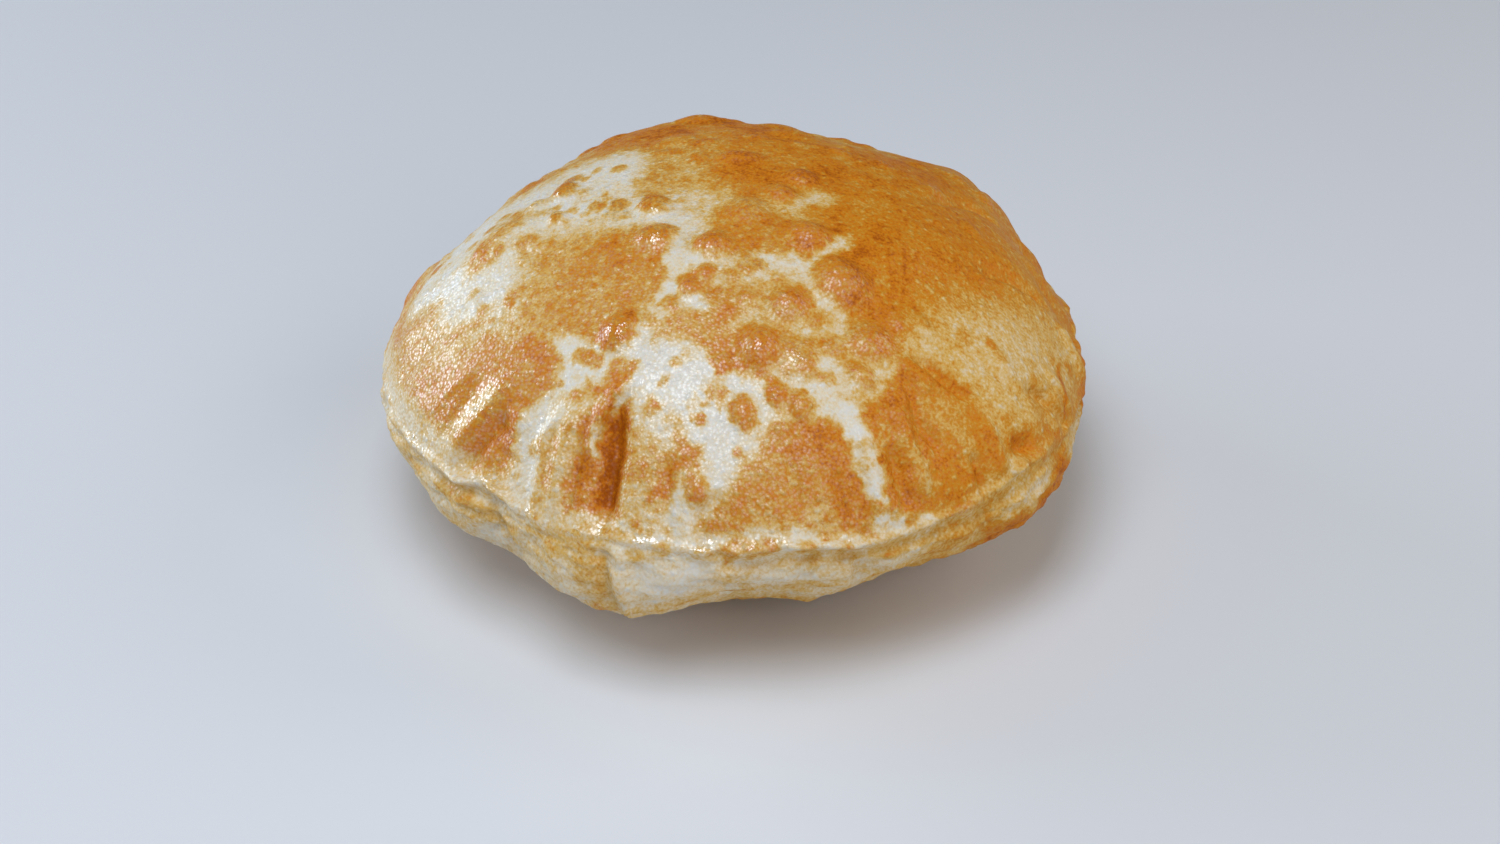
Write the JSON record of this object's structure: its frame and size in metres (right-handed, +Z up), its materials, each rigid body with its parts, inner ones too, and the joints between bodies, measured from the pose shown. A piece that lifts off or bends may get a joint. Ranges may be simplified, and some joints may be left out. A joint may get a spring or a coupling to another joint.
{
  "type": "poori",
  "caption": "puffed deep-fried poori: a ballooned round bread with browned blisters, pleats and a crimped pale seam, standing on a small flat spot",
  "frame": {"origin": "middle of the bounding box at the level of the flat spot that the poori rests on", "axes": "+Z up through the crown, -Y towards the viewer's side with the crimped lip, +X to that viewer's right"},
  "size_m": [0.2146, 0.2206, 0.1074],
  "materials": {
    "crust": "fried dough crust, browned to cream in patches, with an oily sheen"
  },
  "bodies": {
    "root": {"poori": "crust"}
  },
  "joints": []
}
